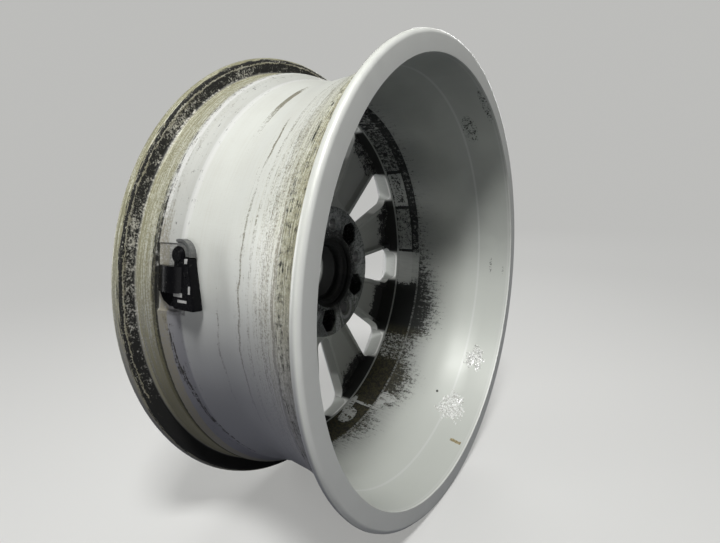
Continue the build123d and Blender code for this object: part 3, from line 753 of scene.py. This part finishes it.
corner = behind * step(y, -79.6, -80.6) * step(radius, 96, 104) * cover(0.30, fine * 0.4 + along_spoke * 0.6, 0.10)
colour = mix(corner * 0.5, colour, (0.075, 0.075, 0.075))
so_far("spokes")

# %% [markdown]
# At the hub the mounting pad is filmed grey and flecked black, with a brighter ring
# round each bolt hole. The pockets and the bore are caked black.

# %% Hub
at_hub = step(radius, 80.5, 78.5) * step(y, -84.0, -82.0)
pad = at_hub * step(y, -45.2, -44.6)
caked_pad = pad * cover(0.44, fine * 0.6 + flecks * 0.4, 0.06)
colour = mix(at_hub * step(y, -83, -79) * (0.62 + (flecks - 0.5) * 0.9), colour, (0.245, 0.258, 0.25))
pocket = at_hub * step(y, -44.9, -46.4) * step(radius, 42.6, 43.2) * step(radius, 76, 73)
bore = step(radius, 42.0, 40.0) * step(y, -84.0, -80.0)
spill = pad * spot(angle, radius, (160, 46), (240, 9.5), flecks) * step(radius, 60, 44)
bolt = cast.math("WRAP", angle - FIRST_SPOKE, HALF_BOLT_STEP, -HALF_BOLT_STEP)
off_circle = radius - BOLT_CIRCLE_RADIUS
bolt_off = cast.math("SQRT", off_circle * off_circle + (bolt * radius * (math.pi / 180)) ** 2)
washer_mark = pad * band(bolt_off, 9.8, 13.6, 0.6)
hole_rim = step(bolt_off, 10.6, 9.6) * at_hub
caked = (pocket * (1 - step(bolt_off, 11.5, 10.6)) | bore | spill * 0.9) & 1.0
caked = caked * cover(0.60 + bore * 0.15, flecks * 0.6 + fine * 0.4, 0.12)
colour = mix(caked_pad * 0.85, colour, (0.043, 0.043, 0.040))
colour = mix(washer_mark * 0.30, colour, (0.588, 0.593, 0.587))
colour = mix(hole_rim * step(y, -46.5, -47.5) * 0.75, colour, (0.075, 0.075, 0.075))
colour = mix(caked * 0.96, colour, (0.020, 0.020, 0.019))
so_far("hub")

# %% [markdown]
# Dirt is dull and lacquer glossy, so the sum of all the dirt also sets how rough the
# surface is. The bump is kept to a few noises, because a bump works its height out
# three times over and the whole sum would slow every render.

# %% Gloss and relief
GLOSSY, RUBBED_DULL, DULL = (0.46,) * 3, (0.62,) * 3, (0.86,) * 3  # roughness
dirt = cast.clamp(dust + grime + caked + rubber + marks * inside + black_specks)
gloss = mix(dirt, GLOSSY, DULL)
gloss = mix(cast.clamp(cream * 0.5 + brown * 0.5 + floor_film), gloss, RUBBED_DULL)
caked_places = at_flange | inside * land | behind | at_hub
relief = caked_places * flecks * 0.60 + fine * 0.10
material = cast.set(
    Base_Color=colour,
    Metallic=0.10,
    Specular_IOR_Level=0.18,
    Roughness=gloss,
    Coat_Weight=(1 - dirt) * (0.02 + outside * 0.14),
    Coat_Roughness=0.20,
    Normal=cast.bump(relief, 0.0003, 0.6),
)
dress("wheel_casting", material)
so_far("gloss and relief")

# %% [markdown]
# ## The sensor and the valve
# The sensor's housing is moulded in black plastic with a fine satin grain, and a
# little grey dust lies on it in patches. Its printed labels are left as bare pale
# panels. The clip round its ear is weathered grey plastic.

# %% Black moulded plastic
SATIN, DUSTY = (0.20,) * 3, (0.55,) * 3  # roughness of clean and of dusty plastic


def moulding_finish(name, colour, dust_share, panels):
    """Moulded plastic: fine grain in the bump, dust where noise is high, bare panels."""
    finish = Finish(name)
    vector, x, y, z = finish.place()
    radius, angle = finish.round_the_axis(x, z, 100)
    round_way = (angle - VALVE_ANGLE) * (math.pi / 180) * radius
    grain = finish.noise(vector, 3.2, 3.0, 0.6)
    patchy = finish.noise(vector, 0.35, 5.0, 0.65)
    dust = finish.cover(dust_share, patchy * 0.75 + grain * 0.25, 0.10)
    dark = tuple(v * 0.6 for v in colour)
    skin = finish.mix(patchy, dark, colour)
    skin = finish.mix(dust * 0.22, skin, (0.303, 0.291, 0.261))
    panel = None
    for y_low, y_high, u_low, u_high, r_low, r_high in panels:
        face = (finish.band(y, y_low, y_high, 0.12) * finish.band(round_way, u_low, u_high, 0.12)
                * finish.band(radius, r_low, r_high, 0.1))
        panel = panel | face if panel else face
    if panel:
        worn = panel * finish.step(patchy + grain * 0.3, 0.42, 0.60)
        skin = finish.mix(worn * 0.85, skin, (0.484, 0.482, 0.467))
    return finish.set(
        Base_Color=skin,
        Roughness=finish.mix(finish.clamp(dust + patchy * 0.3), SATIN, DUSTY),
        Specular_IOR_Level=0.08,
        Normal=finish.bump(grain, 0.00003, 0.25),
    )


# each panel: y from and to, millimetres round the wheel from and to, radius from and to
PANELS = [
    (-31.0, -28.0, 16.8, 20.6, 215.0, 217.0),
    (-26.0, -23.8, -6.6, -0.5, 215.0, 217.0),
    (-43.2, -33.0, -9.8, -6.6, 215.0, 217.0),
    (-38.0, -27.5, -14.0, -12.0, 215.0, 217.0),
]
dress("sensor_case", moulding_finish("sensor_black", (0.006, 0.006, 0.007), 0.32, PANELS))
dress("sensor_lid", moulding_finish("sensor_base_grey", (0.104, 0.104, 0.109), 0.42, []))
dress("valve_cap", moulding_finish("cap_black", (0.057, 0.057, 0.058), 0.45, []))
dress("retaining_clip", moulding_finish("clip_grey", (0.165, 0.169, 0.164), 0.42, []))
dress("valve_washer", moulding_finish("washer_white", (0.720, 0.710, 0.687), 0.42, []))
print("plastics dressed")

# %% [markdown]
# ## Valve metal and rubber
# Metal on the valve is turned bar: fine rings round the stem and a dull oxide film
# in patches. The rubber of the grommet is matt, with a slight bloom.

# %% Turned metal and rubber
VALVE_ORIGIN = (210.3, -56.5)  # radius and y of the valve's root, millimetres
VALVE_LEAN = math.radians(50.0)
TARNISHED = (0.62,) * 3  # roughness where the metal is dull


def turned_metal(name, colour, roughness, tarnish):
    """Bar turned on a lathe: rings across the valve's axis, tarnish in patches."""
    finish = Finish(name)
    vector, x, y, z = finish.place()
    turn = math.radians(VALVE_ANGLE)
    cosine, sine = math.cos(turn), math.sin(turn)
    outwards = x * cosine + z * sine - VALVE_ORIGIN[0]
    along = outwards * -math.sin(VALVE_LEAN) + (y - VALVE_ORIGIN[1]) * -math.cos(VALVE_LEAN)
    rings = finish.noise(finish.vector(along * 6.0, 0.0, 0.0), 1.0, 3.0, 0.5)
    patchy = finish.noise(vector, 0.5, 5.0, 0.65)
    dull = finish.step(patchy, 0.42, 0.68)
    skin = finish.mix(dull * 0.8, colour, tarnish)
    return finish.set(
        Base_Color=skin,
        Metallic=0.95,
        Roughness=finish.mix(finish.clamp(dull * 0.7 + rings * 0.3), (roughness,) * 3, TARNISHED),
        Normal=finish.bump(rings, 0.00005, 0.5),
    )


def sealing_rubber():
    """Black rubber with a grey bloom."""
    finish = Finish("seal_rubber")
    vector = finish.place()[0]
    bloom = finish.noise(vector, 0.6, 5.0, 0.6)
    skin = finish.mix(finish.step(bloom, 0.40, 0.75), (0.0307, 0.0307, 0.0307), (0.127, 0.127, 0.123))
    return finish.set(Base_Color=skin, Roughness=0.72, Normal=finish.bump(bloom, 0.0001, 0.3))


def laminate_finish():
    """Green board with a copper pattern showing through its varnish."""
    finish = Finish("green_laminate")
    vector = finish.place()[0]
    tracks = finish.step(finish.noise(vector, 0.8, 1.0), 0.50, 0.54)
    skin = finish.mix(tracks, (0.061, 0.233, 0.113), (0.197, 0.449, 0.249))
    return finish.set(Base_Color=skin, Roughness=0.4, Normal=finish.bump(tracks, 0.00003, 0.5))


dress("valve_stem", turned_metal("stem_aluminium", (0.62, 0.62, 0.60), 0.32, (0.34, 0.34, 0.32)))
dress("valve_nut", turned_metal("nut_nickel", (0.58, 0.57, 0.55), 0.30, (0.30, 0.28, 0.25)))
dress("valve_core", turned_metal("core_brass", (0.60, 0.44, 0.20), 0.34, (0.30, 0.22, 0.12)))
dress("battery_cell", turned_metal("cell_steel", (0.62, 0.62, 0.62), 0.30, (0.45, 0.45, 0.45)))
dress("valve_grommet", sealing_rubber())
dress("circuit_board", laminate_finish())
print("metals and rubber dressed")

# %% [markdown]
# ## Glue of the old balance weights
# Two wrinkled flakes of clear glue sit in the mouth of the barrel, and a scrap of
# brown tape below them. Each flake is a thin closed skin: its lower face lies in
# the metal, and its upper face is a field of ridges, so that only the crests come
# out through the lacquer and its outline is as broken as the real one.

# %% Barrel wall and ripples
BARREL_WALL = ([-61.0, -27.0, 43.0, 56.5, 99.1], [191.0, 194.75, 204.0, 210.7, 216.3])


def wall_point(angle, y, depth):
    """Point on the brake side's wall at an angle and y, sunk by depth into the metal."""
    radius = np.interp(y, *BARREL_WALL) + depth
    return np.stack([radius * np.cos(angle), y, radius * np.sin(angle)], -1) * MM


def ripples(u, v, seed, count=26):
    """Field of ridges from 0 to 1: one minus the size of a sum of sines of random
    directions and phases, so crests are sharp and wander."""
    dice = np.random.default_rng(seed)
    turn = dice.uniform(0, 2 * np.pi, count)
    wave = dice.uniform(2.0, 9.0, count)
    phase = dice.uniform(0, 2 * np.pi, count)
    total = np.zeros_like(u)
    for a, k, p in zip(turn, wave, phase):
        total += np.sin(k * (u * np.cos(a) + v * np.sin(a)) + p) / np.sqrt(k)
    return 1 - np.clip(np.abs(total) / 2.2, 0, 1)


print("barrel radius at its mouth", round(float(np.interp(99.1, *BARREL_WALL)), 1), "mm")

# %% Glue flakes


def glue_flake(name, angle_deg, y, half_angle_deg, half_y, seed):
    """Closed skin: crests of ripples times a dome that falls to nothing at the edge;
    the same grid, run back 0.9 mm below the wall, closes it inside the metal."""
    rows, columns = 150, 130
    u, v = np.meshgrid(np.linspace(-1, 1, rows), np.linspace(-1, 1, columns), indexing="ij")
    turn = np.arctan2(v, u)
    lobes = 0.14 * np.sin(3 * turn + seed) + 0.10 * np.sin(7 * turn + 2 * seed)
    frayed = 0.5 * (ripples(u * 3, v * 3, seed + 1) - 0.6)
    reach = np.sqrt(u ** 2 + v ** 2) / (0.82 + lobes) + frayed
    dome = np.clip(1.6 * (1 - reach ** 2), 0, 1)
    crest = ripples(u * 2.0, v * 2.0, seed) ** 2
    height = dome * (0.26 + 1.35 * crest) - 0.14
    angle = np.radians(angle_deg + half_angle_deg * u)
    place = y + half_y * v
    top = wall_point(angle, place, -height)
    under = wall_point(angle, place, np.full_like(height, 0.9))
    loop = np.concatenate([top, under[::-1]], axis=0)
    flake = grid_object(name, loop[:, ::-1], closed_rows=True)
    seal_ends(flake)
    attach(flake, "root")
    print(name, len(flake.data.polygons), "faces")
    return flake


def seal_ends(piece):
    """Close each open end of a strip with one face, and turn all faces outwards."""
    work = bmesh.new()
    work.from_mesh(piece.data)
    rims = [edge for edge in work.edges if edge.is_boundary]
    bmesh.ops.holes_fill(work, edges=rims, sides=0)
    bmesh.ops.recalc_face_normals(work, faces=work.faces)
    work.to_mesh(piece.data)
    work.free()


flakes = [
    glue_flake("glue_flake_upper", 221.0, 71.0, 5.2, 14.5, 5),
    glue_flake("glue_flake_lower", 241.5, 63.0, 6.8, 18.5, 11),
]

# %% Finish of the glue


def glue_finish():
    """Dried clear glue: pale and matt where a noise is high, greyer and glossier where it is low."""
    finish = Finish("dried_glue")
    vector = finish.place()[0]
    folds = finish.noise(vector, 0.55, 5.0, 0.65)
    skin = finish.mix(finish.step(folds, 0.38, 0.56), (0.440, 0.440, 0.400), (0.860, 0.870, 0.840))
    return finish.set(
        Base_Color=skin,
        Roughness=finish.mix(folds, (0.12, 0.12, 0.12), (0.45, 0.45, 0.45)),
        Coat_Weight=0.5,
        Coat_Roughness=0.08,
        Normal=finish.bump(folds, 0.0003, 0.5),
    )


glue = glue_finish()
for flake in flakes:
    flake.data.materials.append(glue)
print("glue laid")

# %% Scrap of brown tape


def tape_scrap():
    """Thin strip along the barrel with a wavy edge, closed by a lower face in the metal."""
    rows, columns = 40, 12
    u, v = np.meshgrid(np.linspace(-1, 1, rows), np.linspace(-1, 1, columns), indexing="ij")
    half_width = 0.55 + 0.06 * np.sin(9 * u) + 0.04 * np.sin(23 * u)
    angle = np.radians(254.2 + half_width * v + 0.15 * np.sin(2.2 * u))
    place = 85.2 + 6.6 * u
    lift = 0.28 + 0.10 * np.sin(5 * u) * v
    top = wall_point(angle, place, -lift)
    under = wall_point(angle, place, np.full_like(lift, 0.4))
    loop = np.concatenate([top, under[:, ::-1]], axis=1)
    scrap = grid_object("tape_scrap", loop[:, ::-1], closed_columns=True)
    seal_ends(scrap)
    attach(scrap, "root")
    return scrap


def tape_finish():
    """Brown crepe, paler where its face has rubbed off."""
    finish = Finish("brown_tape")
    vector = finish.place()[0]
    rubbed = finish.noise(vector, 0.9, 4.0, 0.6)
    skin = finish.mix(finish.step(rubbed, 0.35, 0.65), (0.167, 0.134, 0.061), (0.441, 0.370, 0.216))
    return finish.set(Base_Color=skin, Roughness=0.75, Normal=finish.bump(rubbed, 0.0002, 0.6))


scrap = tape_scrap()
scrap.data.materials.append(tape_finish())
print("tape", len(scrap.data.polygons), "faces")
